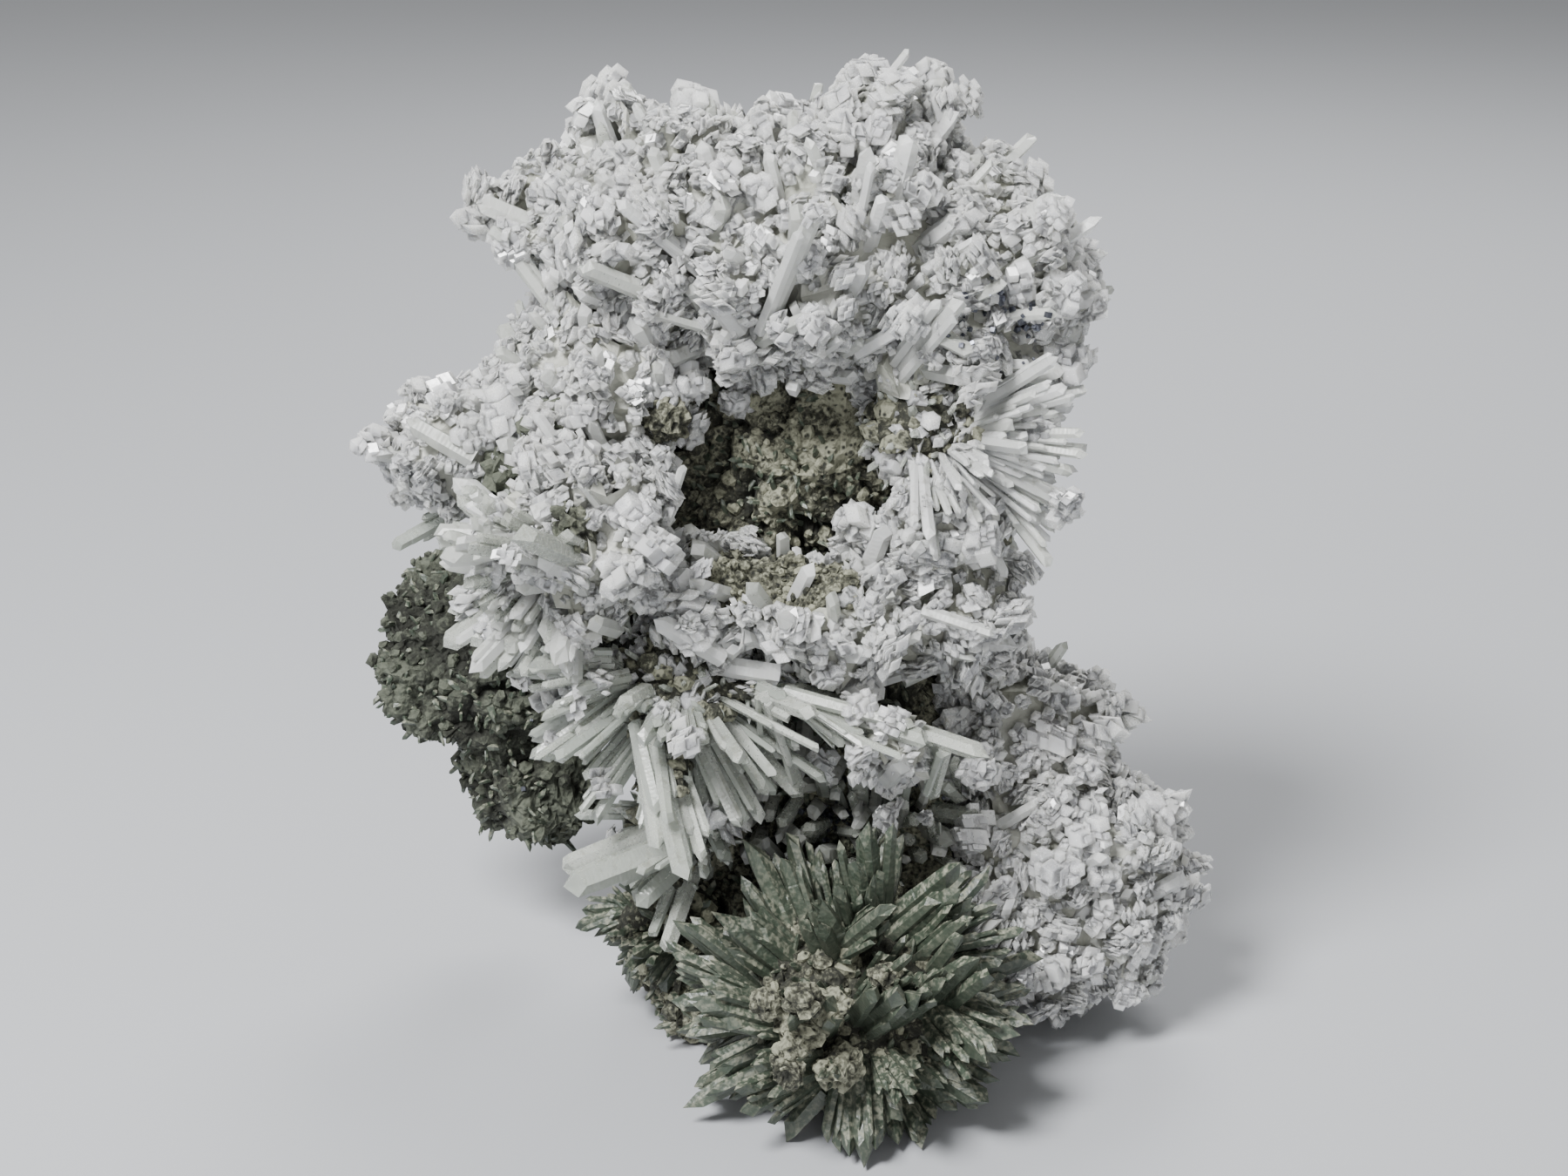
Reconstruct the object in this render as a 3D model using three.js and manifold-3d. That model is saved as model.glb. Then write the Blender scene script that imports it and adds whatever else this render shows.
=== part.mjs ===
// Calcite on quartz: a hand-sized mineral specimen, in millimetres, +Z up, front towards -Y.
// Altered green-grey rock carries sprays of quartz points. Pale calcite has grown over them in blunt,
// flat-faced crystals, and the quartz near the foot is green with chlorite. The specimen stands on the flat
// face where its rock was broken off, and its origin lies on that face, under the middle of its outline.
import * as THREE from "three";
import { mergeVertices } from "three/addons/utils/BufferGeometryUtils.js";
import Module from "manifold-3d";

const wasm = await Module();
wasm.setup();

// ---- Driving dimensions ----
const GAP = 0.35; // clearance between neighbouring pieces
const FLOOR_CLEARANCE = 0.4; // how far crystals stay above the surface that the specimen stands on
const SLIVER = 0.08; // edges shorter than this are merged away after cutting
const ROCK_CRAG = 3; // how far the corners of broken rock stand out or sink in
const ROCK_SIDES = 14; // corners around a section of the rock
const STRAY = 0.5; // how far the middle of a crystal strays sideways, in crystal widths
const LEAN = 0.25; // how far a crystal leans, as the sideways part of its direction
const SLOPE_GROWTH = 1.4; // outward growth that keeps a clearance beside faces that slope this steeply
const POINT_ROOM = 0.8; // how much of the room inside its ring a quartz point's radius may take
const POINT_FOOT = 0.8; // height of the foot over which it narrows from the ring to its own width
const POINT_TIP = 0.9; // length of a quartz point's pyramid, in widths
const POINT_TAPER = 0.86; // width at the shoulder of a quartz point, as a share of its root
const FLAT_SHARE = 0.35; // share of the calcite crystals that end in a flat plate
const PLATE_WIDTH = 0.6; // width of that plate, as a share of its crystal's foot
const BLOCK_DEPTH = 0.75; // thickness of a calcite block, in widths
const BLOCK_TOP = 0.7; // width of its upper face, in widths
const BLOCK_GIRTH = 0.4; // how far below its middle it is widest, as a share of half its thickness
const SHORTEST = 0.1; // height of a crystal that the floor leaves no room for
const SHORT_PRISM = 1; // a quartz point whose prism would be shorter than this is a plain pyramid

// ---- Small helpers ----
const degrees = THREE.MathUtils.degToRad;
const vector = (place) => new THREE.Vector3(...place);
const between = ([low, high], share) => low + (high - low) * share;

// A repeatable number from 0 to 1: number k of item i in the family that seed names.
function pick(seed, i, k) {
  const wave = Math.sin(seed * 12.9898 + i * 78.233 + k * 37.719) * 43758.5453;
  return wave - Math.floor(wave);
}

const strayVector = (seed, i, k) => vector([0, 1, 2].map((axis) => pick(seed, i, k + axis) - 0.5));

// ---- Solids ----
// A closed mesh, as corner places and triangles of corner numbers, as a manifold-3d solid.
function solidOf(places, triangles) {
  const mesh = new wasm.Mesh({
    numProp: 3,
    vertProperties: new Float32Array(places.flat()),
    triVerts: new Uint32Array(triangles.flat()),
  });
  return new wasm.Manifold(mesh);
}

// A closed three.js geometry as corner places and triangles, with its shared corners merged.
function facesOf(geometry) {
  const bare = geometry.clone();
  bare.deleteAttribute("normal");
  bare.deleteAttribute("uv");
  const { attributes, index } = mergeVertices(bare, 1e-4);
  const inThrees = (list) =>
    Array.from({ length: list.length / 3 }, (_, i) => [...list.slice(3 * i, 3 * i + 3)]);
  return { places: inThrees(attributes.position.array), triangles: inThrees(index.array) };
}

function geometryOf(made) {
  const { numProp, vertProperties, triVerts } = made.getMesh();
  const geometry = new THREE.BufferGeometry();
  geometry.setAttribute("position", new THREE.Float32BufferAttribute(vertProperties, numProp));
  geometry.setIndex(new THREE.BufferAttribute(triVerts, 1));
  geometry.computeVertexNormals();
  return geometry;
}

const join = (solids) => solids.reduce((all, one) => all.add(one));
const largest = (made) => made.decompose().sort((a, b) => b.volume() - a.volume())[0];

// How far corner i of a broken rock face stands out, or sinks in.
const crag = (seed, i) => ROCK_CRAG * (2 * pick(seed, i, 0) - 1);

// A lump of broken rock: a ball stretched to its radii.
function rockLump({ at, radii, seed }, grow = 0) {
  const { places, triangles } = facesOf(new THREE.IcosahedronGeometry(1, 1));
  const broken = places.map((place, i) =>
    place.map((c, k) => at[k] + c * (radii[k] + crag(seed, i) + SLOPE_GROWTH * grow)),
  );
  return solidOf(broken, triangles);
}

// A column of broken rock through a stack of oval sections, flat at its foot and top.
function rockStack(sections, seed, grow = 0) {
  const last = sections.length - 1;
  const places = sections.flatMap(([x, y, z, wide, deep], level) =>
    Array.from({ length: ROCK_SIDES }, (_, k) => {
      const turn = (2 * Math.PI * (k + 0.5 * (level % 2))) / ROCK_SIDES;
      const out = crag(seed, level * ROCK_SIDES + k) + SLOPE_GROWTH * grow;
      const up = level === last ? grow : 0;
      return [x + (wide + out) * Math.cos(turn), y + (deep + out) * Math.sin(turn), z + up];
    }),
  );
  const triangles = [];
  for (let level = 0; level < last; level++) {
    for (let k = 0; k < ROCK_SIDES; k++) {
      const next = (k + 1) % ROCK_SIDES;
      const [a, b] = [level * ROCK_SIDES + k, level * ROCK_SIDES + next];
      const [c, d] = [a + ROCK_SIDES, b + ROCK_SIDES];
      if (level % 2) triangles.push([a, b, d], [a, d, c]);
      else triangles.push([a, b, c], [b, d, c]);
    }
  }
  const roof = last * ROCK_SIDES;
  for (let k = 1; k < ROCK_SIDES - 1; k++) {
    triangles.push([0, k + 1, k], [roof, roof + k, roof + k + 1]);
  }
  return solidOf(places, triangles);
}

// The ring of corners around each corner of a closed mesh, in turning order.
function ringsOf(places, triangles) {
  const after = places.map(() => new Map());
  for (const [a, b, c] of triangles) {
    after[a].set(b, c);
    after[b].set(c, a);
    after[c].set(a, b);
  }
  return after.map((next) => {
    const ring = [next.keys().next().value];
    while (ring.length < next.size) ring.push(next.get(ring.at(-1)));
    return ring;
  });
}

// Corners that don't touch each other, packed close: the next is always one with the fewest free neighbours.
function spacedCorners(rings) {
  const free = new Set(rings.keys());
  const chosen = new Set();
  const freeAround = (i) => rings[i].filter((j) => free.has(j)).length;
  while (free.size) {
    const next = [...free].reduce((best, i) => (freeAround(i) < freeAround(best) ? i : best));
    chosen.add(next);
    [next, ...rings[next]].forEach((i) => free.delete(i));
  }
  return chosen;
}

// A ball of crystals: on a ball of triangles, corners that don't touch each other each carry one crystal,
// which stands inside the ring of corners around it. The habit gives each crystal's levels: [radius, height]
// pairs from its foot up, where a last radius of 0 is a point and any other a flat top.
function crystalBall({ at, radii, seed, detail = 2, ...bed }, habit, grow = 0) {
  const { places, triangles } = facesOf(new THREE.IcosahedronGeometry(1, detail));
  const rings = ringsOf(places, triangles);
  const outward = places.map((place, i) =>
    vector(place).addScaledVector(strayVector(seed, i, 1), STRAY / (detail + 1)).normalize(),
  );
  const foot = outward.map((d) => vector(radii).addScalar(SLOPE_GROWTH * grow).multiply(d).add(vector(at)));
  const corners = foot.map((place) => place.toArray());
  const carriers = spacedCorners(rings);
  const faces = triangles.filter((triangle) => !triangle.some((i) => carriers.has(i)));
  for (const i of carriers) {
    const d = outward[i].clone().addScaledVector(strayVector(seed, i, 4), LEAN).normalize();
    const spokes = rings[i].map((j) => foot[j].clone().sub(foot[i]).projectOnPlane(d));
    const room = Math.min(...spokes.map((spoke) => spoke.length()));
    let lower = rings[i];
    for (const [radius, height] of habit(bed, seed, i, d, room, foot[i].z)) {
      const middle = foot[i].clone().addScaledVector(d, height + grow);
      const first = corners.length;
      if (radius === 0) {
        corners.push(middle.addScaledVector(d, grow).toArray());
        lower.forEach((low, k) => faces.push([low, lower[(k + 1) % lower.length], first]));
        lower = [];
        break;
      }
      const upper = spokes.map((spoke, k) => {
        corners.push(spoke.clone().setLength(radius + grow).add(middle).toArray());
        return first + k;
      });
      lower.forEach((low, k) => {
        const next = (k + 1) % lower.length;
        faces.push([low, lower[next], upper[next]], [low, upper[next], upper[k]]);
      });
      lower = upper;
    }
    for (let k = 1; k < lower.length - 1; k++) faces.push([lower[0], lower[k], lower[k + 1]]);
  }
  const above = corners.map(([x, y, z]) => [x, y, Math.max(z, FLOOR_CLEARANCE - grow)]);
  return solidOf(above, faces);
}

// Quartz: inside the bed's cap a tall crystal, elsewhere a low point. The tall one is six-sided: a tapering
// prism that ends in a point, or a spear that narrows all the way from its foot.
function quartzHabit({ axis, spread, tall, width, low = 1, spear = false }, seed, i, d, room, level) {
  if (d.angleTo(vector(axis)) > degrees(spread)) return [[0, low]];
  const radius = Math.min(between(width, pick(seed, i, 7)) / 2, POINT_ROOM * room);
  const head = d.z < 0 ? (FLOOR_CLEARANCE - level) / d.z : Infinity;
  const length = Math.min(between(tall, pick(seed, i, 8)), head);
  const shoulder = length - 2 * POINT_TIP * radius;
  if (shoulder < SHORT_PRISM) return [[0, Math.max(length, SHORTEST)]];
  const foot = [radius, POINT_FOOT];
  return spear ? [foot, [0, length]] : [foot, [radius * POINT_TAPER, shoulder], [0, length]];
}

// Calcite: blunt crystals side by side, some with a flat plate on top.
function calciteHabit({ tall }, seed, i, d, room) {
  const height = between(tall, pick(seed, i, 7));
  return pick(seed, i, 8) < FLAT_SHARE ? [[PLATE_WIDTH * room, height]] : [[0, height]];
}

// A flat-sided outline turned about a line and set on a point of it. Outline points are [radius, height].
function faceted(outline, sides, from, direction, twist = 0) {
  const points = outline.map(([radius, height]) => new THREE.Vector2(radius, height));
  const geometry = new THREE.LatheGeometry(points, sides).rotateY(twist);
  const turn = new THREE.Quaternion().setFromUnitVectors(vector([0, 1, 0]), direction.clone().normalize());
  geometry.applyQuaternion(turn).translate(...from);
  const { places, triangles } = facesOf(geometry);
  return solidOf(places, triangles);
}

// A single quartz point between its root and its tip.
function quartzPoint({ root, tip, width }, grow = 0) {
  const direction = vector(tip).sub(vector(root));
  const length = direction.length();
  const radius = width / 2 + grow;
  const shoulder = [radius * POINT_TAPER, length - POINT_TIP * width + grow];
  return faceted([[0, 0], [radius, 0], shoulder, [0, length + 2 * grow]], 6, root, direction);
}

// A single calcite crystal: a block with a flat upper face, facing out.
function calciteBlock({ at, facing, width, sides = 4 }, grow = 0) {
  const radius = width / 2 + grow;
  const half = (width * BLOCK_DEPTH) / 2 + grow;
  const outline = [[0, -half], [radius, -half * BLOCK_GIRTH], [radius * BLOCK_TOP, half], [0, half]];
  return faceted(outline, sides, at, vector(facing), at[0]);
}

// ---- Layout of the rock ----
// The column's sections from the foot up: [x, y, z, half its width, half its depth].
const rockColumn = [
  [8, 6, 0, 25, 27],
  [8, 7, 7, 31, 31],
  [8, 10, 19, 33, 29],
  [7, 16, 34, 31, 23],
  [3, 17, 50, 26, 20],
  [1, 17, 66, 27, 19],
  [2, 16, 84, 31, 17],
  [2, 15, 102, 29, 16],
  [2, 13, 118, 19, 11],
];
const rockLumps = [
  { at: [-34, 9, 90], radii: [23, 12, 9], seed: 4 }, // arm
  { at: [-28, 19, 62], radii: [21, 14, 18], seed: 5 }, // bridge to the shoulder
  { at: [-48, 25, 51], radii: [18, 13, 17], seed: 6 }, // shoulder
  { at: [-44, 26, 33], radii: [14, 11, 15], seed: 7 }, // its lower end
];

// ---- Finishes ----
const mineral = (color, roughness) => new THREE.MeshStandardMaterial({ color, roughness, metalness: 0 });
const rockFinish = mineral(0x6f6d58, 0.95);
const quartzFinish = mineral(0xc3cbc0, 0.25);
const greenFinish = mineral(0x67705c, 0.6);
const calciteFinish = mineral(0xe6e6e0, 0.4);

// ---- Pieces ----
const specimen = new THREE.Group();
specimen.name = "calcite_on_quartz";
let taken = null; // everything placed so far, grown by the gap

// Adds a piece in the space that earlier pieces leave. made(grow) is its own solid, grown by that much.
function addPiece(name, finish, made) {
  const own = taken ? made(0).subtract(taken) : made(0);
  const mesh = new THREE.Mesh(geometryOf(largest(own.simplify(SLIVER))), finish);
  mesh.name = name;
  specimen.add(mesh);
  taken = taken ? taken.add(made(GAP)) : made(GAP);
}

// A patch of crystals of one mineral that have grown together: whole balls of them, and single ones.
function addPoints(name, finish, beds, points = []) {
  addPiece(name, finish, (grow) =>
    join([
      ...beds.map((bed) => crystalBall(bed, quartzHabit, grow)),
      ...points.map((point) => quartzPoint(point, grow)),
    ]),
  );
}

function addCalcite(name, beds, blocks = []) {
  addPiece(name, calciteFinish, (grow) =>
    join([
      ...beds.map((bed) => crystalBall(bed, calciteHabit, grow)),
      ...blocks.map((block) => calciteBlock(block, grow)),
    ]),
  );
}

addPiece("matrix_rock", rockFinish, (grow) =>
  join([rockStack(rockColumn, 1, grow), ...rockLumps.map((lump) => rockLump(lump, grow))]),
);

// Single quartz points that stand in the calcite of the crown.
const crownPoints = {
  quartz_point_corner: { root: [-30, -5, 112], tip: [-42.5, -3, 129], width: 2.6 },
  quartz_point_left: { root: [-11, -10, 123], tip: [-23.5, -17, 136], width: 2.6 },
  quartz_point_top: { root: [-21, 2, 128], tip: [-27.5, 0, 147], width: 3.4 },
  quartz_point_brow: { root: [-2, -14, 118], tip: [4.5, -24, 136], width: 3.6 },
  quartz_point_high: { root: [8, -6, 122], tip: [12, -14, 143], width: 3.4 },
  quartz_point_front: { root: [17, -7, 108], tip: [25, -22, 123], width: 3.6 },
  quartz_point_right: { root: [28, -5, 119], tip: [46, -5, 131], width: 3.4 },
};
for (const [name, point] of Object.entries(crownPoints)) addPoints(name, quartzFinish, [], [point]);

addPoints("quartz_right_spray", quartzFinish, [
  { at: [21, -3, 99], radii: [9, 11, 9], seed: 15,
    axis: [1, -0.5, -0.2], spread: 70, tall: [14, 19], width: [2.6, 3.4] },
], [
  { root: [22, -7, 101], tip: [43, -20, 103], width: 3 },
  { root: [22, -7, 98], tip: [43, -20, 90], width: 3.4 },
  { root: [22, -7, 96], tip: [39, -18, 82], width: 3.4 },
]);
addPoints("quartz_left_front", quartzFinish, [
  { at: [-31, -13, 82], radii: [11, 11, 12], seed: 16,
    axis: [-0.9, -0.3, -0.4], spread: 75, tall: [9, 14], width: [3, 4.4] },
], [
  { root: [-24, -20, 92], tip: [-28, -33, 107], width: 4 },
  { root: [-24, -14, 79], tip: [-37, -41, 95], width: 5 },
  { root: [-30, -13, 82], tip: [-48, -34, 89], width: 4 },
]);
addPoints("quartz_lower_spray", quartzFinish, [
  { at: [-15, -12, 62], radii: [11, 10, 10], seed: 18, detail: 3,
    axis: [-0.35, -0.8, -0.8], spread: 75, tall: [13, 21], width: [2.8, 4] },
  { at: [8, -10, 55], radii: [10, 8, 7], seed: 14, detail: 1,
    axis: [0.4, -0.8, -0.4], spread: 60, tall: [9, 14], width: [3, 4] },
], [
  { root: [-20, -18, 62], tip: [-14, -43, 43], width: 5 },
  { root: [-8, -12, 66], tip: [30, -30, 57], width: 4.4 },
]);
addPoints("quartz_low_left", quartzFinish, [
  { at: [-15, -6, 36], radii: [8, 9, 8], seed: 13, detail: 1,
    axis: [-0.6, -0.8, 0], spread: 80, tall: [9, 14], width: [3, 4] },
], [
  { root: [-12, -10, 37], tip: [-33, -24, 33], width: 6 },
]);
addCalcite("calcite_crown", [
  { at: [4, 3, 124], radii: [20, 20, 18], seed: 31, tall: [3, 7] },
  { at: [-18, 4, 127], radii: [16, 17, 16], seed: 32, tall: [3, 6] },
  { at: [27, 3, 119], radii: [16, 17, 17], seed: 33, tall: [3, 6] },
  { at: [15, 6, 140], radii: [9, 9, 10], seed: 34, detail: 1, tall: [2, 4] },
  { at: [-33, 5, 128], radii: [9, 9, 8], seed: 35, detail: 1, tall: [2, 4] },
], [
  { at: [-42, 3, 131], facing: [-1, -0.4, 0.6], width: 9 },
]);
addCalcite("calcite_left_arm", [
  { at: [-28, -3, 105], radii: [14, 12, 12], seed: 41, tall: [2, 5] },
  { at: [-48, 1, 94], radii: [12, 9, 8], seed: 42, detail: 1, tall: [2, 4] },
]);
addCalcite("calcite_left_front", [
  { at: [-28, -21, 88], radii: [11, 10, 12], seed: 43, detail: 1, tall: [3, 5] },
]);
addCalcite("calcite_waist", [
  { at: [-9, -14, 76], radii: [10, 10, 8], seed: 44, detail: 1, tall: [3, 5] },
  { at: [8, -16, 74], radii: [11, 11, 9], seed: 45, detail: 1, tall: [3, 5] },
  { at: [25, -9, 73], radii: [11, 12, 10], seed: 46, detail: 1, tall: [2, 4] },
  { at: [22, -15, 86], radii: [9, 5, 6], seed: 47, detail: 1, tall: [1, 3] },
]);
addCalcite("calcite_long_points", [
  { at: [15, -27, 58], radii: [5, 4, 5], seed: 49, detail: 1, tall: [1, 2] },
]);
addCalcite("calcite_right_lobe", [
  { at: [43, -1, 23], radii: [19, 16, 20], seed: 51, tall: [3, 6] },
  { at: [37, 5, 45], radii: [15, 13, 13], seed: 52, detail: 1, tall: [2, 4] },
]);
addPoints("green_quartz_front", greenFinish, [
  { at: [10, -31, 16], radii: [14, 12, 14], seed: 19, detail: 3,
    axis: [0, -1, 0], spread: 120, tall: [12, 17], width: [5, 7], spear: true },
]);
addPoints("green_quartz_left", greenFinish, [
  { at: [-17, -7, 18], radii: [9, 9, 10], seed: 20, detail: 1,
    axis: [-1, -0.7, 0.1], spread: 90, tall: [5, 8], width: [3, 5], spear: true },
]);

const outline = new THREE.Box3().setFromObject(specimen);
const middle = outline.getCenter(new THREE.Vector3());
specimen.position.set(-middle.x, -middle.y, 0);
export default specimen;
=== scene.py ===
# %% [markdown]
# # Calcite on quartz
# A hand-sized mineral specimen. Altered rock carries sprays of quartz points, and pale calcite has grown over
# them in thousands of small crystals. The solids of the crusts and sprays are coarse, so each is dressed
# here: its place, outline and tall crystals are read from the solid, and the fine crystals are worked out as
# arrays and seated on it. Only a few single crystals and grains are placed one by one.

import bpy
import numpy as np
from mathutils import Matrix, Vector
from mathutils.bvhtree import BVHTree


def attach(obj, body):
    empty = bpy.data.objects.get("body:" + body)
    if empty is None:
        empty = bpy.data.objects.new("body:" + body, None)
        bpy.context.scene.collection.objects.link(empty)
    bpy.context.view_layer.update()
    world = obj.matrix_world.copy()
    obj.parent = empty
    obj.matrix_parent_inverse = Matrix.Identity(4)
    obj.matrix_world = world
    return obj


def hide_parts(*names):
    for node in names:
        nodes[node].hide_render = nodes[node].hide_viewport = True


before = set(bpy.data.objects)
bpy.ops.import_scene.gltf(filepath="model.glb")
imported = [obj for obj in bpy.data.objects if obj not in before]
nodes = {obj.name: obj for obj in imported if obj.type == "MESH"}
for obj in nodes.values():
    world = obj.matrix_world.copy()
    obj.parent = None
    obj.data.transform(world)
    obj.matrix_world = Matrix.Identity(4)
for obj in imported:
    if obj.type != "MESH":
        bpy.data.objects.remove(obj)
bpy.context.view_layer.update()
MM = 0.001

# %% [markdown]
# ## Reading the solids
# A solid arrives as loose triangles. Welded together they say which corners are neighbours, and from that the
# tall crystals can be found: a tip is a corner that stands far out of the ring of its neighbours.

# %% Welded corners and triangles
WELD = 0.002 * MM


def unit(vectors):
    """Vectors divided by their own lengths."""
    return vectors / np.maximum(np.linalg.norm(vectors, axis=-1, keepdims=True), 1e-12)


def read(items, field, width=3, kind=float):
    """One field of all of a mesh's items as an array with a row for each item."""
    values = np.empty(len(items) * width, kind)
    items.foreach_get(field, values)
    return values.reshape(-1, width)


def welded(name):
    """A solid's corners and triangles. Corners that round to the same place become one."""
    mesh = nodes[name].data
    mesh.calc_loop_triangles()
    places = read(mesh.vertices, "co")
    keys = np.round(places / WELD).astype(np.int64)
    _, first, same = np.unique(keys, axis=0, return_index=True, return_inverse=True)
    return places[first], same.reshape(-1)[read(mesh.loop_triangles, "vertices", kind=int)]


def face_normals(places, triangles):
    """Each triangle's normal, as long as twice its area: the cross product of two of its edges."""
    a, b, c = places[triangles].transpose(1, 0, 2)
    return np.cross(b - a, c - a)


def corner_normals(places, triangles):
    """Each corner's normal: the sum of the normals of its triangles, made one long."""
    normals = np.zeros_like(places)
    np.add.at(normals, triangles.ravel(), np.repeat(face_normals(places, triangles), 3, axis=0))
    return unit(normals)


def drawn_in(places, triangles, depth, lowest):
    """A surface's corners, moved in along their normals by a depth but not below the lowest height."""
    moved = places - corner_normals(places, triangles) * depth
    moved[:, 2] = np.maximum(moved[:, 2], lowest)
    return moved


# %% Tall crystals of a solid
SHARP = 1.3  # a tip stands out of its ring by more than this many ring radii
SPEAR = 3.2  # and one that stands out further than this narrows all the way from its root
STUMP = 0.2  # the share of its height that a tall crystal keeps on a solid's core


class Spray:
    """A solid's tall crystals, as their tips, roots and radii, and its core, the corners and triangles that
    are left when the tall crystals are cut down to stumps."""

    def __init__(self, name):
        places, triangles = welded(name)
        near = np.zeros((len(places), len(places)), bool)
        for one, other in ((0, 1), (1, 2), (2, 0)):
            near[triangles[:, (one, other)], triangles[:, (other, one)]] = True
        rise = places - (near @ places) / near.sum(1, keepdims=True)
        height = np.linalg.norm(rise, axis=1)
        outward = (rise * corner_normals(places, triangles)).sum(1) > 0.5 * height
        found = []
        self.places, self.triangles = places.copy(), triangles
        for tip in np.flatnonzero(outward & (height > 0.5 * MM)):
            ring = near[tip]
            across = np.cross(places[ring] - places[tip], rise[tip] / height[tip])
            radius = np.linalg.norm(across, axis=1).mean()
            if not 5 <= ring.sum() <= 8 or height[tip] < SHARP * radius:
                continue
            foot, moving = ring, [tip]
            if height[tip] < SPEAR * radius:
                foot = near[ring].any(0) & ~ring
                foot[tip] = False
                moving = [tip, *np.flatnonzero(ring)]
            root = places[foot].mean(0)
            axis = unit(places[tip] - root)
            above = (places[moving] - root) @ axis
            self.places[moving] -= (1 - STUMP) * np.outer(above, axis)
            found.append((places[tip], root, radius))
        self.tips, self.roots, self.radii = (np.array(column) for column in zip(*found))


sprays = {name: Spray(name) for name in sorted(nodes) if "quartz" in name}
for name, spray in sprays.items():
    lengths = np.linalg.norm(spray.tips - spray.roots, axis=1)
    print(name, "tall crystals:", len(lengths), "mean length mm:", round(lengths.mean() / MM, 1))

# %% [markdown]
# ## Seats on a crust
# Small crystals sit all over the open side of a crust, and none sit where it is grown against its neighbour.
# Random places by area, kept only where a short look outward meets no other solid, and thinned to a spacing,
# give an even but irregular cover.

# %% Open places on a solid
def scattered(places, triangles, spacing, random, allowed=None):
    """Places on a surface and the normals there. Triangles are drawn by area, and a place on each by two
    random shares. Places that are not allowed go, and so do those too near to one that is kept."""
    a, b, c = places[triangles].transpose(1, 0, 2)
    cross = face_normals(places, triangles)
    area = np.linalg.norm(cross, axis=1) / 2
    count = int(area.sum() / spacing**2 * 5)
    drawn = random.choice(len(area), count, p=area / area.sum())
    shares = random.random((2, count))
    shares = np.where(shares.sum(0) > 1, 1 - shares, shares)[..., None]
    spots = a[drawn] + shares[0] * (b - a)[drawn] + shares[1] * (c - a)[drawn]
    normals = unit(cross[drawn])
    clear = np.ones(count, bool) if allowed is None else allowed(spots, normals)
    taken, kept = np.empty_like(spots), []
    for i in np.flatnonzero(clear):
        apart = ((taken[:len(kept)] - spots[i]) ** 2).sum(1)
        if apart.min(initial=1) > spacing**2:
            taken[len(kept)] = spots[i]
            kept.append(i)
    return spots[kept], normals[kept]


def look_out(name, start, reach):
    """A test of places on a solid: whether a look along the normal, which begins at a distance start and is
    as long as the reach, meets no other solid. One search tree holds the triangles of all the others."""
    corners, faces, count = [], [], 0
    for other in sorted(set(nodes) - {name}):
        places, triangles = welded(other)
        corners.append(places)
        faces.append(triangles + count)
        count += len(places)
    others = BVHTree.FromPolygons(np.concatenate(corners).tolist(), np.concatenate(faces).tolist())

    def is_open(spots, normals):
        looks = zip((spots + normals * start).tolist(), normals.tolist())
        return np.array([others.ray_cast(spot, normal, reach)[0] is None for spot, normal in looks])

    return is_open


def inside(places, middle, reach, size=1.0):
    """Whether places lie inside an ellipsoid: (place - middle) / reach is shorter than the size."""
    return np.linalg.norm((places - middle) / reach, axis=1) < size


def open_seats(name, spacing, random):
    """Scattered places on a solid with an open millimetre above them."""
    return scattered(*welded(name), spacing, random, look_out(name, 0.02 * MM, 1.0 * MM))


# %% [markdown]
# ## Shapes as arrays
# A crust holds thousands of crystals, so each kind of crystal is one small set of corners and faces, and all
# its copies are placed by one product of arrays. A pile gathers them and writes a single mesh at the end,
# with two numbers on every corner: `tone`, the same over one crystal, and `along`, the height on its axis.

# %% Frames, copies and piles
def frames_along(directions, spins):
    """Three axes for each direction: two across it, turned about it by the spin, and the direction itself."""
    steep = np.abs(directions[:, 2:]) > 0.9
    across = unit(np.cross(np.where(steep, [[1.0, 0, 0]], [[0, 0, 1.0]]), directions))
    third = np.cross(directions, across)
    c, s = np.cos(spins)[:, None], np.sin(spins)[:, None]
    return np.stack([c * across + s * third, c * third - s * across, directions], axis=1)


def in_scene(name, data):
    """A new object in the scene."""
    made = bpy.data.objects.new(name, data)
    bpy.context.scene.collection.objects.link(made)
    return made


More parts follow.
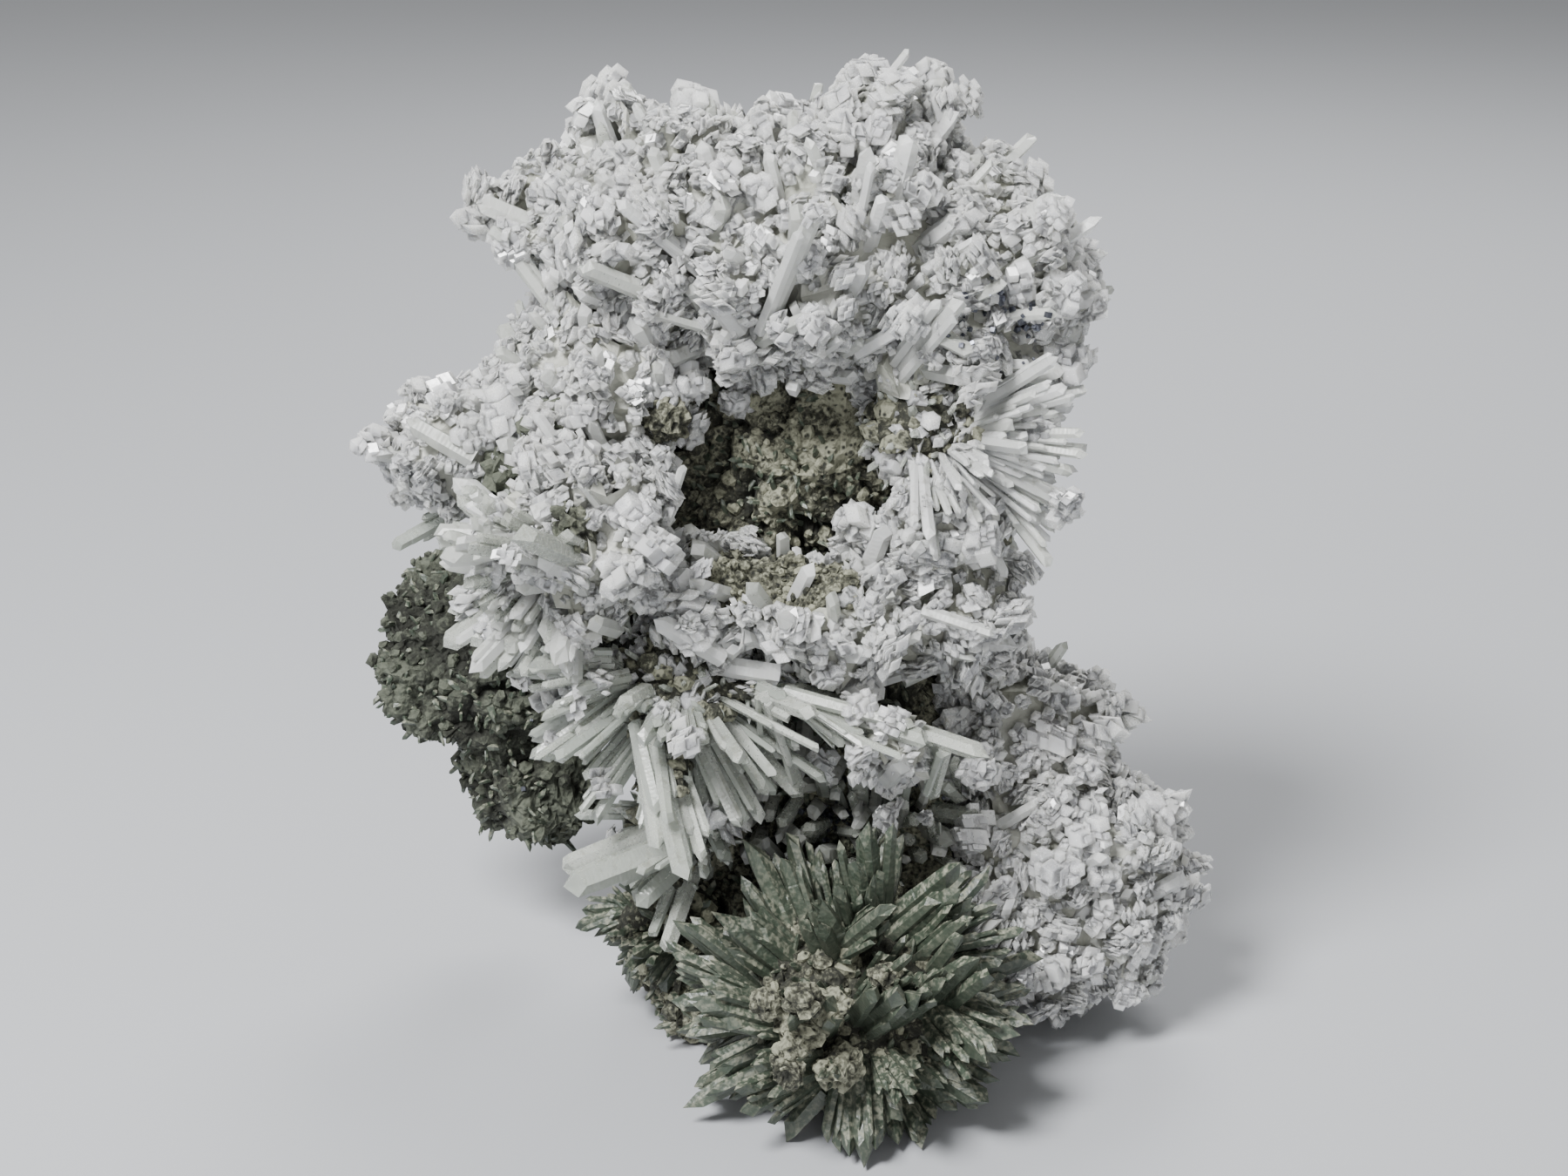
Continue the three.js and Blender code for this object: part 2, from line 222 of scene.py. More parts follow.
class Pile:
    """Closed shapes gathered as arrays until they become one mesh."""

    def __init__(self):
        self.parts = []
        self.count = 0

    def add(self, points, faces, tone, along, finish=0):
        """Adds n copies of a shape. points is (n, corners, 3), and faces are the same lists of corner numbers
        for each copy. tone and along are numbers for every corner, or arrays that spread to (n, corners).
        finish is one number, or one for every face."""
        copies, corners = points.shape[:2]
        points[..., 2] = np.maximum(points[..., 2], 0)  # nothing reaches below the floor
        loops = np.array([corner for face in faces for corner in face])
        starts = self.count + corners * np.arange(copies)[:, None]
        sizes = np.tile([len(face) for face in faces], copies)
        spread = [np.broadcast_to(values, (copies, corners)).ravel() for values in (tone, along)]
        slots = np.broadcast_to(finish, len(sizes))
        self.parts.append((points.reshape(-1, 3), (loops + starts).ravel(), sizes, *spread, slots))
        self.count += copies * corners

    def piece(self, name, finishes, slot, replaced=()):
        """The pile as one mesh object that rides on the specimen and stands for the replaced solids."""
        points, loops, sizes, tones, alongs, finish = (np.concatenate(c) for c in zip(*self.parts))
        mesh = bpy.data.meshes.new(name)
        mesh.vertices.add(len(points))
        mesh.vertices.foreach_set("co", points.ravel())
        mesh.loops.add(len(loops))
        mesh.loops.foreach_set("vertex_index", loops)
        mesh.polygons.add(len(sizes))
        mesh.polygons.foreach_set("loop_start", np.cumsum(sizes) - sizes)
        mesh.polygons.foreach_set("loop_total", sizes)
        mesh.polygons.foreach_set("material_index", finish)
        mesh.update(calc_edges=True)
        mesh.shade_flat()
        for kind, values in (("tone", tones), ("along", alongs)):
            mesh.attributes.new(kind, "FLOAT", "POINT").data.foreach_set("value", values)
        for material in finishes:
            mesh.materials.append(material)
        made = in_scene(name, mesh)
        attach(made, "root")
        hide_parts(*replaced)
        print(name, "triangles:", int((sizes - 2).sum()))


# %% [markdown]
# Relief on stone is a random field: a sum of sines along many directions. The distance of such a field from
# zero makes billows, round crumbs with sharp creases between them.

# %% Waves and relief
def waves(places, length, random, count=28):
    """A random field of about -1 to 1: the sum of sines along random directions, over the root of their
    number. length is the wave's length."""
    directions = unit(random.normal(size=(count, 3)))
    phases = random.uniform(0, 2 * np.pi, count)
    stretch = random.uniform(0.75, 1.35, count)
    sines = np.sin(places @ (directions * stretch[:, None]).T * (2 * np.pi / length) + phases)
    return sines.sum(1) / np.sqrt(count) / 1.4


def billows(places, length, random):
    """Round crumbs, up to about 1, with sharp creases of -0.5 between them."""
    return 1.5 * np.sqrt(np.abs(waves(places, length, random))) - 0.5


# %% [markdown]
# ## Finishes
# Shader sums are written as Python sums. A `Wire` is one output of a node, and its operators add Math nodes.

# %% Wires and finishes
class Wire:
    """One output of a node in a finish."""

    def __init__(self, finish, socket):
        self.finish = finish
        self.socket = socket

    def math(self, operation, *values):
        return self.finish.node("ShaderNodeMath", {"operation": operation}, dict(enumerate(values)))

    def __add__(self, other):
        return self.math("ADD", self, other)

    def __sub__(self, other):
        return self.math("SUBTRACT", self, other)

    def __rsub__(self, other):
        return self.math("SUBTRACT", other, self)

    def __mul__(self, other):
        return self.math("MULTIPLY", self, other)

    __radd__ = __add__
    __rmul__ = __mul__

    def sine(self):
        return self.math("SINE", self)

    def clamped(self):
        return self.finish.node("ShaderNodeClamp", {}, {"Value": self})

    def between(self, low, high):
        """0 below low, 1 above high, and a smooth rise from one to the other."""
        values = {"Value": self, "From Min": low, "From Max": high}
        return self.finish.node("ShaderNodeMapRange", {"interpolation_type": "SMOOTHSTEP"}, values)


class Finish:
    """A material while it is written. `node` adds any node; its values are numbers, colours or wires."""

    def __init__(self, name, **constants):
        self.material = bpy.data.materials.new(name)
        self.material.use_nodes = True
        self.tree = self.material.node_tree
        self.shader = self.tree.nodes["Principled BSDF"]
        for socket, value in constants.items():
            self.shader.inputs[socket.replace("_", " ")].default_value = value

    def plug(self, socket, value):
        if isinstance(value, Wire):
            self.tree.links.new(value.socket, socket)
        else:
            socket.default_value = value

    def node(self, kind, settings, values, output=0):
        made = self.tree.nodes.new(kind)
        for key, value in settings.items():
            setattr(made, key, value)
        for key, value in values.items():
            self.plug(made.inputs[key], value)
        return Wire(self, made.outputs[output])

    def place(self):
        """The place on the object, in metres."""
        return self.node("ShaderNodeTexCoord", {}, {}, "Object")

    def axis(self, letter):
        """How far along one axis the place lies, in metres."""
        return self.node("ShaderNodeSeparateXYZ", {}, {"Vector": self.place()}, letter)

    def attribute(self, name):
        return self.node("ShaderNodeAttribute", {"attribute_name": name}, {}, "Fac")

    def facing_up(self):
        """The upward part of the surface's normal: 1 on a level top, 0 on a wall, -1 underneath."""
        normal = self.node("ShaderNodeNewGeometry", {}, {}, "Normal")
        return self.node("ShaderNodeSeparateXYZ", {}, {"Vector": normal}, "Z")

    def noise(self, size, detail=3.0, roughness=0.6):
        """Cloudy noise from 0 to 1 whose patches are about as large as the size, in metres."""
        values = {"Vector": self.place(), "Scale": 1 / size, "Detail": detail, "Roughness": roughness}
        return self.node("ShaderNodeTexNoise", {}, values, "Fac")

    def cells(self, size):
        """Distance to the nearest of scattered points, which lie about the size apart."""
        return self.node("ShaderNodeTexVoronoi", {}, {"Vector": self.place(), "Scale": 1 / size}, "Distance")

    def mix(self, share, low, high):
        """The low colour where the share is 0 and the high one where it is 1."""
        values = {0: share, 6: low, 7: high}
        return self.node("ShaderNodeMix", {"data_type": "RGBA"}, values, 2)

    def bump(self, height, strength, distance):
        values = {"Height": height, "Strength": strength, "Distance": distance}
        return self.node("ShaderNodeBump", {}, values)

    def wear(self, **values):
        """Connects what varies over the surface, and returns the finished material."""
        for socket, value in values.items():
            self.plug(self.shader.inputs[socket.replace("_", " ")], value)
        return self.material


# %% [markdown]
# The colours are each mineral's own where it is clean, and those of what stains, coats or shades it.

# %% Colours
CALCITE_WHITE = (0.89, 0.89, 0.87, 1)
CALCITE_GREY = (0.56, 0.57, 0.52, 1)
CALCITE_WARM = (0.80, 0.74, 0.64, 1)
CRUST_SHADE = (0.27, 0.28, 0.22, 1)
# The heart's two greys are painted shade, seen through the gaps between the crystals.
HEART_SHADE_PALE = (0.50, 0.505, 0.47, 1)
HEART_SHADE_DARK = (0.30, 0.305, 0.26, 1)
QUARTZ_CLEAR = (0.51, 0.55, 0.50, 1)
QUARTZ_MILKY = (0.63, 0.65, 0.59, 1)
QUARTZ_PALE = (0.92, 0.93, 0.92, 1)
CHLORITE = (0.026, 0.038, 0.025, 1)
CHLORITE_PALE = (0.058, 0.071, 0.053, 1)
CREAM_DUST = (0.25, 0.25, 0.19, 1)
ROCK_DARK = (0.012, 0.013, 0.009, 1)
ROCK_OLIVE = (0.068, 0.067, 0.044, 1)
ROCK_CREAM = (0.230, 0.232, 0.170, 1)
ROCK_SAGE = (0.052, 0.061, 0.045, 1)
GALENA = (0.17, 0.18, 0.21, 1)
GALENA_DULL = (0.035, 0.037, 0.05, 1)


# %% [markdown]
# Calcite is milky: light goes in, scatters and comes out again close by, so the faces glow softly and their
# edges never turn black. Some light goes through. The faces are smooth enough to flash, so the roughness is
# low. The tone makes neighbouring crystals a little whiter or greyer than each other at random, and greyer as
# painted shade where they lie sunk or fill the gaps. A tone above 1 paints dark shade on the crystals that
# lie deep.

# %% Calcite
def calcite_finish():
    finish = Finish("calcite", IOR=1.6, Subsurface_Weight=0.9, Subsurface_Radius=(1.0, 0.98, 0.9),
                    Subsurface_Scale=3.0 * MM, Transmission_Weight=0.24)
    tone = finish.attribute("tone")
    clouds = finish.noise(7 * MM)
    # greyness follows random clouds and tone, and the tone also carries painted shade for sunk crystals and
    # gaps
    greyness = (tone * 0.45 + clouds * 0.9 - 0.35).clamped()
    body = finish.mix(greyness, CALCITE_WHITE, CALCITE_GREY)
    warmth = finish.noise(19 * MM).between(0.55, 0.8)
    body = finish.mix(warmth * 0.35, body, CALCITE_WARM)
    # a tone above 1 paints dark shade (CRUST_SHADE) on the crystals that lie deep
    body = finish.mix((tone - 1).clamped(), body, CRUST_SHADE)
    mosaic = finish.cells(1.3 * MM)
    frost = finish.noise(0.5 * MM, 2.0)
    normal = finish.bump(mosaic * 0.7 + frost * 0.3, 0.2, 0.1 * MM)
    return finish.wear(Base_Color=body, Roughness=frost * 0.3 + tone * 0.15 + 0.04, Normal=normal)


# %% [markdown]
# Under its open crystals a crust's solid is drawn in and painted grey as painted shade for the gaps between
# the crystals, paler in some patches and darker grey-green in others.

# %% The heart of a crust
def heart_finish():
    finish = Finish("calcite_heart", IOR=1.6)
    grain = finish.noise(1.2 * MM)
    shade_patches = finish.noise(11 * MM).between(0.35, 0.65)
    body = finish.mix(shade_patches, HEART_SHADE_PALE, HEART_SHADE_DARK)
    return finish.wear(Base_Color=finish.mix(grain * 0.5, body, HEART_SHADE_DARK), Roughness=grain * 0.3 + 0.5,
                       Normal=finish.bump(grain + finish.cells(0.9 * MM), 0.5, 0.3 * MM))


# %% [markdown]
# Quartz is clear to cloudy. Its prism faces carry fine lines across the length of the crystal, which
# come from a sine of the height on the axis, and dust has settled on what faces up.

# %% Quartz
def quartz_finish():
    finish = Finish("quartz", IOR=1.544, Transmission_Weight=0.54, Subsurface_Weight=0.25,
                    Subsurface_Radius=(1.0, 1.0, 0.9), Subsurface_Scale=1.2 * MM)
    tone = finish.attribute("tone")
    along = finish.attribute("along")
    clouds = finish.noise(4 * MM)
    body = finish.mix((tone * 0.7 + clouds * 0.6 - 0.2).clamped(), QUARTZ_CLEAR, QUARTZ_MILKY)
    body = finish.mix((tone - 0.8).clamped(), body, QUARTZ_PALE)
    dust = finish.facing_up().between(0.1, 0.9) * finish.noise(1.6 * MM).between(0.5, 0.7)
    body = finish.mix(dust * 0.6, body, CREAM_DUST)
    lines = (along * 9.0 + clouds * 3.0).sine() * 0.5 + (along * 31.0).sine() * 0.25
    pits = finish.noise(0.7 * MM, 3.0)
    normal = finish.bump(lines + pits * 1.2, 0.25, 0.08 * MM)
    return finish.wear(Base_Color=body, Roughness=tone * 0.15 + pits * 0.2 + dust * 0.4 + 0.05, Normal=normal)


# %% [markdown]
# Near the foot the quartz is full of chlorite and dusted with cream clay. The dust lies on upward faces and
# in patches, and the dark green shows on the walls of the crystals and underneath.

# %% Chlorite quartz
def chlorite_finish():
    finish = Finish("chlorite_quartz", IOR=1.54)
    tone = finish.attribute("tone")
    clouds = finish.noise(5 * MM)
    body = finish.mix((tone * 0.6 + clouds * 0.8 - 0.3).clamped(), CHLORITE, CHLORITE_PALE)
    grit = finish.noise(0.9 * MM, 4.0)
    dust = (finish.facing_up().between(-0.2, 1.0) * 0.7 + clouds * 0.25) * grit.between(0.42, 0.66)
    body = finish.mix(dust.clamped(), body, CREAM_DUST)
    normal = finish.bump(grit + finish.cells(0.7 * MM) * 0.6, 0.5, 0.2 * MM)
    return finish.wear(Base_Color=body, Roughness=dust.clamped() * 0.45 + 0.4, Normal=normal)


# %% [markdown]
# The rock is altered and granular, cream and olive in grains and patches. The `tone` of a rock corner is the
# height of the relief there, and the colour follows it as painted shade: almost black in the pits, creamier
# where the rock stands out. On its left the rock has turned a dark sage green.

# %% Rock
def rock_finish():
    finish = Finish("altered_rock", IOR=1.5)
    relief = finish.attribute("tone")
    clouds = finish.noise(9 * MM, 4.0)
    grit = finish.noise(0.8 * MM, 4.0, 0.7)
    # Low relief is darker, down to ROCK_DARK: painted shade in the pits.
    body = finish.mix((relief * 1.1 + clouds * 0.6 + grit * 0.9 - 0.95).clamped(), ROCK_DARK, ROCK_OLIVE)
    # Cream grains come with the grit and clouds; high relief adds cream too, the other end of the painted
    # shade.
    cream = (relief * 0.8 + grit * 1.3 + clouds * 0.5).between(1.15, 1.6)
    body = finish.mix(cream, body, ROCK_CREAM)
    body = finish.mix(finish.cells(1.2 * MM).between(0.1, 0.4), ROCK_DARK, body)
    leftward = finish.axis("X").between(-20 * MM, -34 * MM)
    # The sage green is darker where the relief is low: painted shade again.
    sage = finish.mix((relief + grit - 0.5).between(0.2, 0.8), ROCK_DARK, ROCK_SAGE)
    body = finish.mix(leftward * 0.85, body, sage)
    normal = finish.bump(grit + finish.cells(1.1 * MM) * 0.8, 0.8, 0.5 * MM)
    return finish.wear(Base_Color=body, Roughness=0.95 - relief * 0.15, Normal=normal)


# %% [markdown]
# Galena is a lead sulfide: dark lead-grey, metallic, bright on fresh faces and dull where it has tarnished.

# %% Galena
def galena_finish():
    finish = Finish("galena", Metallic=0.9)
    tarnish = finish.noise(0.9 * MM)
    body = finish.mix(tarnish.between(0.35, 0.7), GALENA, GALENA_DULL)
    return finish.wear(Base_Color=body, Roughness=tarnish * 0.5 + finish.attribute("tone") * 0.15 + 0.1)


calcite = calcite_finish()
heart = heart_finish()
quartz = quartz_finish()
chlorite = chlorite_finish()
rock = rock_finish()
galena = galena_finish()

# %% [markdown]
# ## Calcite
# A calcite crystal here is a flattened rhombohedron, a lens of six flat faces whose belt runs up and down. It
# seldom grows alone: many lie side by side and one over another, all turned the same way, so that a crystal
# ends in rows of teeth and flashes as one. Where the members are turned against each other the growth opens
# into a rosette.

# %% Growths of rhombs
def rhomb_shape():
    """A rhombohedron that reaches one from its middle: six corners around it, which lie a third up and a
    third down by turns so that its six faces are flat, and two apexes."""
    turns = np.arange(6) * np.pi / 3
    belt = np.column_stack([np.cos(turns), np.sin(turns), np.tile([1, -1], 3) / 3])
    upper = [(6, k, (k + 1) % 6, (k + 2) % 6) for k in (0, 2, 4)]
    lower = [(7, (k + 2) % 6, (k + 1) % 6, k) for k in (1, 3, 5)]
    return np.concatenate([belt, [[0, 0, 1.0], [0, 0, -1.0]]]), upper + lower


GROWTH_WIDTH, GROWTH_HEIGHT = (0.5, 0.75), (0.3, 0.8)  # how far members lie from the middle, in radii
FLATNESS = (0.35, 0.68)  # how thick a member is for its width
FIRST_MEMBER, LOOSEST = 0.75, 0.7  # the first member's share of the radius, and the greatest looseness


def add_growths(pile, spots, normals, radii, random, members, sunk, finish, shade_tone=0):
    """Growths of flat rhombs on seats, sunk by a share of their radii. The first member is the largest, and
    the others lie about it, out to the rim and up and down the axis. Each growth has its own width, height
    and looseness, and looseness turns its members against each other. toned is added to the tone."""
    growths = len(spots)
    axes = unit(normals * 1.1 + unit(random.normal(size=(growths, 3))))
    spins = random.uniform(0, 2 * np.pi, growths)
    across, third, axes = frames_along(axes, spins).transpose(1, 0, 2)[:, :, None]
    turn = random.uniform(0, 2 * np.pi, (growths, members))
    rim = np.sqrt(random.random((growths, members))) * random.uniform(*GROWTH_WIDTH, (growths, 1))
    level = random.uniform(-1, 1, (growths, members)) * np.sqrt(1 - rim**2)
    level *= random.uniform(*GROWTH_HEIGHT, (growths, 1))
    share = 0.1 + 0.8 / np.sqrt(members) + 0.32 * random.random((growths, members)) ** 1.5
    rim[:, 0], level[:, 0], share[:, 0] = 0, 0, FIRST_MEMBER
    turn, rim, level = turn[..., None], rim[..., None], level[..., None]
    reach = rim * (np.cos(turn) * across + np.sin(turn) * third) + level * axes
    middles = (spots - normals * (radii * sunk)[:, None])[:, None] + reach * radii[:, None, None]
    loose = random.uniform(0.02, 1, (growths, 1)) ** 3 * LOOSEST
    tilt = random.normal(size=(growths, members, 3)) * loose[..., None]
    ways = unit(axes + tilt).reshape(-1, 3)
    turned = spins[:, None] + random.normal(size=(growths, members)) * (0.04 + loose)
    size = (share * radii[:, None]).ravel()
    stretch = random.uniform(0.8, 1.15, (3, len(size))) * size
    stretch[2] *= np.repeat(random.uniform(*FLATNESS, growths), members)
    corners, faces = rhomb_shape()
    scaled = frames_along(ways, turned.ravel()) * stretch.T[:, :, None]
    placed = middles.reshape(-1, 1, 3) + np.einsum("vk,nkj->nvj", corners, scaled)
    tones = np.repeat(random.random(growths) * 0.6 + shade_tone, members) + random.random(len(size)) * 0.4
    pile.add(placed, faces, tones[:, None], 0, finish)


# %% [markdown]
# ## Quartz
# A quartz crystal is a six-sided prism under a short six-sided point. Three of the point's faces are larger
# than the others, so the corners of its shoulder lie high and low by turns, and small ledges make it narrower
# towards the tip.

# %% Prisms and points
def prism_faces(rings):
    """Faces of a six-sided prism of several rings, closed by its lowest ring and by a tip."""
    sides = [(r * 6 + k, r * 6 + (k + 1) % 6, r * 6 + 6 + (k + 1) % 6, r * 6 + 6 + k)
             for r in range(rings - 1) for k in range(6)]
    last = rings * 6 - 6
    point = [(last + k, last + (k + 1) % 6, last + 6) for k in range(6)]
    return sides + point + [tuple(range(5, -1, -1))]


def add_prisms(pile, roots, tips, radii, random, ledges=2, point=1.0, taper=0.12, finish=0, paler=0):
    """Quartz crystals from root to tip. Their rings lie at the root, below and above each ledge, and at the
    shoulder, a point's length (in radii) below the tip. The radius falls from ring to ring, by the taper in
    all. The section is a little flattened, and the tip strays from the axis. paler is added to the tone."""
    count = len(roots)
    axis = tips - roots
    length = np.linalg.norm(axis, axis=1)
    frames = frames_along(unit(axis), random.uniform(0, np.pi, count))
    shoulder = np.maximum(length - point * radii * random.uniform(0.7, 1.3, count), 0.5 * length)
    starts = np.sort(random.uniform(0.15, 0.92, (count, ledges)), axis=1)
    ends = starts + (0.15 * radii / shoulder)[:, None]
    shares = np.sort(np.column_stack([np.zeros(count), starts, ends, np.ones(count)]), axis=1)
    rings = shares.shape[1]
    turns = np.arange(6) * np.pi / 3 + random.normal(size=(count, 6)) * 0.09
    size = radii[:, None] * (1 + random.normal(size=(count, 6)) * 0.08)
    flat = random.uniform(0.72, 1.0, (count, 1))
    ring = np.stack([size * np.cos(turns), size * np.sin(turns) * flat], 2)
    narrow = 1.04 - taper * np.arange(rings) / (rings - 1)
    level = np.repeat((shares * shoulder[:, None])[:, :, None], 6, axis=2)
    level[:, -1] += radii[:, None] * point * np.where(np.arange(6) % 2, 0.3, -0.3)
    level[:, -1] += radii[:, None] * random.normal(size=(count, 6)) * 0.12
    local = np.concatenate([ring[:, None] * narrow[:, None, None], level[..., None]], 3).reshape(count, -1, 3)
    tip = np.column_stack([random.normal(size=(count, 2)) * radii[:, None] * 0.25, length])
    local = np.concatenate([local, tip[:, None]], 1)
    placed = roots[:, None] + np.einsum("nvk,nkj->nvj", local, frames)
    pile.add(placed, prism_faces(rings), paler + random.random((count, 1)), local[:, :, 2] / MM, finish)


def beside(roots, tips, radii, random, each, spread, shorter, thinner):
    """Smaller crystals beside each of these: the root moves sideways by about its radius, the direction
    strays by the spread, and length and radius are shares of its own."""
    axis = np.repeat(tips - roots, each, axis=0)
    size = np.repeat(radii, each)
    count = len(size)
    side = unit(np.cross(axis, random.normal(size=(count, 3))))
    starts = np.repeat(roots, each, axis=0) + side * (size * random.uniform(0.6, 1.3, count))[:, None]
    ways = unit(axis) + side * random.uniform(0, spread, (count, 1))
    ways = ways + random.normal(size=(count, 3)) * spread / 3
    length = np.linalg.norm(axis, axis=1, keepdims=True) * random.uniform(*shorter, (count, 1))
    return starts, starts + unit(ways) * length, size * random.uniform(*thinner, count)


def between(roots, tips, radii, random, count, shorter, thinner):
    """Crystals between two neighbouring ones: each takes one at random and one of the five whose tips are
    nearest to its tip, and its root and tip lie on the lines between theirs."""
    far = np.linalg.norm(tips[:, None] - tips, axis=2)
    nearest = np.argsort(far, axis=1)[:, 1:6]
    one = random.integers(0, len(tips), count)
    other = nearest[one, random.integers(0, nearest.shape[1], count)]
    share = random.uniform(0.15, 0.85, (count, 1))
    starts = roots[one] * (1 - share) + roots[other] * share
    ends = tips[one] * (1 - share) + tips[other] * share
    ends = starts + (ends - starts) * random.uniform(*shorter, (count, 1))
    return starts, ends, np.minimum(radii[one], radii[other]) * random.uniform(*thinner, count)


CLEARANCE = 0.3 * MM  # what a crystal that points down leaves between itself and the floor


def above_floor(roots, tips, radii):
    """Crystals cut short, along their own axis, where they would reach below the floor's clearance."""
    drop = np.maximum(roots[:, 2] - tips[:, 2], 1e-9)
    room = (roots[:, 2] - radii - CLEARANCE) / drop
    share = np.where(tips[:, 2] < radii + CLEARANCE, np.clip(room, 0.15, 1), 1)
    return roots, roots + (tips - roots) * share[:, None], radii


def ball_shape(rings, around):
    """Corners and faces of a ball whose radius is one: level rings of corners between two poles."""
    heights = np.pi * (np.arange(1, rings) / rings - 0.5)
    turns = np.arange(around) * 2 * np.pi / around
    level = np.stack([np.outer(np.cos(heights), np.cos(turns)), np.outer(np.cos(heights), np.sin(turns)),
                      np.repeat(np.sin(heights)[:, None], around, 1)], 2).reshape(-1, 3)
    corners = np.concatenate([level, [[0, 0, -1.0], [0, 0, 1.0]]])
    low, high, top = len(level), len(level) + 1, (rings - 2) * around
    pairs = [(k, (k + 1) % around) for k in range(around)]
    faces = [(r + k, r + after, r + around + after, r + around + k)
             for r in range(0, top, around) for k, after in pairs]
    faces += [(after, k, low) for k, after in pairs]
    faces += [(top + k, top + after, high) for k, after in pairs]
    return corners, faces


def add_lumps(pile, middles, radii, random, finish, fineness=(14, 22)):
    """Crumbly lumps: balls, each stretched its own way, whose corners move outward with the relief there."""
    corners, faces = ball_shape(*fineness)
    count = len(middles)
    frames = frames_along(unit(random.normal(size=(count, 3))), random.uniform(0, 2 * np.pi, count))
    stretched = frames * (radii[:, None] * random.uniform(0.65, 1.2, (count, 3)))[:, :, None]
    local = np.einsum("vk,nkj->nvj", corners, stretched).reshape(-1, 3)
    size = np.repeat(radii, len(corners))
    placed = local + np.repeat(middles, len(corners), axis=0)
    relief = billows(placed, 2.4 * MM, random) * 0.4 + billows(placed, 1.1 * MM, random) * 0.2
    placed += unit(local) * (relief * size)[:, None]
    # The tone carries the relief's height, which the rock finish turns into painted shade in the creases.
    tones = relief.reshape(count, -1) * 0.8 + random.uniform(0.15, 0.7, (count, 1))
    pile.add(placed.reshape(count, -1, 3), faces, tones, 0, finish)


CRUMB_FINENESS = (4, 6)  # the rings and corners of a crumb: there are thousands, so each has few faces


def add_crumbs(pile, places, triangles, random, spacing, size, finish, allowed=None):
    """Small lumps over a surface, half sunk in it. spacing and size are in millimetres."""
    spots, normals = scattered(places, triangles, spacing * MM, random, allowed)
    radii = (size[0] + (size[1] - size[0]) * random.random(len(spots)) ** 2) * MM
    middles = spots + normals * (radii * random.uniform(-0.2, 0.6, len(spots)))[:, None]
    high = middles[:, 2] > radii * 1.5
    add_lumps(pile, middles[high], radii[high], random, finish, CRUMB_FINENESS)


def add_points(pile, places, triangles, random, spacing, length=(1.5, 4.0), width=(0.35, 0.8), finish=0,
               allowed=None):
    """Short points over a surface, about at its normals. spacing, length and width are in millimetres."""
    spots, normals = scattered(places, triangles, spacing * MM, random, allowed)
    count = len(spots)
    ways = unit(normals + random.normal(size=(count, 3)) * 0.3)
    ends = spots + ways * random.uniform(*length, (count, 1)) * MM
    radii = random.uniform(*width, count) * MM
    add_prisms(pile, *above_floor(spots - normals * 0.8 * MM, ends, radii), random, 0, 1.5, 0.2, finish)


# %% [markdown]
# ## The rock
# The solid rock is coarse, so a welded copy is remeshed to an even fine skin, and every corner then moves
# along its normal. The relief is a sum of wide folds, of billows in four sizes and of a fine grit, and here
# and there a deep crack cuts into it. Loose crumbs and short chlorite-green points cover the skin where it is
# open, and four lumps of earth are held between the crystals higher up.

# %% The rock's skin
def fine_skin(name, grain):
    """A welded copy of a solid remeshed to squares of the grain's size: its corners, faces and normals."""
    places, triangles = welded(name)
    mesh = bpy.data.meshes.new("skin")
    mesh.from_pydata(places.tolist(), [], triangles.tolist())
    made = in_scene("skin", mesh)
    remesh = made.modifiers.new("even", "REMESH")
    remesh.mode = "VOXEL"
    remesh.voxel_size = grain
    result = made.evaluated_get(bpy.context.evaluated_depsgraph_get()).to_mesh()
    corners, normals = read(result.vertices, "co"), read(result.vertices, "normal")
    quads = read(result.loops, "vertex_index", 1, int).reshape(-1, 4)
    bpy.data.objects.remove(made)
    return corners, quads, normals


# %% The rock's relief
CRUMB_RELIEF = ((12, 1.8), (6, 1.0), (3, 0.6), (1.6, 0.35))  # width and height of each size of crumb, in mm
CRACK_DEPTH, CRACK_BAND = 4.5, 0.3  # in millimetres, and how far from zero its field may be
SUNK = 1.2  # sinks the skin, so that its highest crumbs come to about the solid's faces


def rock_relief(corners, random):
    """Heights in millimetres: folds, crumbs and cracks of fields whose places are pushed about first, and a
    grit of plain random numbers. A crack is the narrow band where its field is nearly zero."""
    warped = corners + np.stack([waves(corners, 11 * MM, random) for _ in range(3)], 1) * 2 * MM
    relief = waves(warped, 17 * MM, random) * 1.3
    for length, height in CRUMB_RELIEF:
        relief += billows(warped, length * MM, random) * height
    cracks = np.maximum(CRACK_BAND - np.abs(waves(warped, 19 * MM, random)), 0) / CRACK_BAND
    cracks *= np.clip(waves(corners, 26 * MM, random) * 2 + 0.8, 0, 1)
    return relief - cracks**2 * CRACK_DEPTH - SUNK + random.normal(size=len(relief)) * 0.13


# %% The rock and its crumbs
EARTHY_LUMPS = np.array([  # place and radius in millimetres
    (-39.8, 1.5, 93.0, 4.0), (-33.3, -5.4, 101.8, 4.2), (-30.0, -21.2, 91.0, 3.2), (-17.6, -2.4, 102.6, 3.0),
])


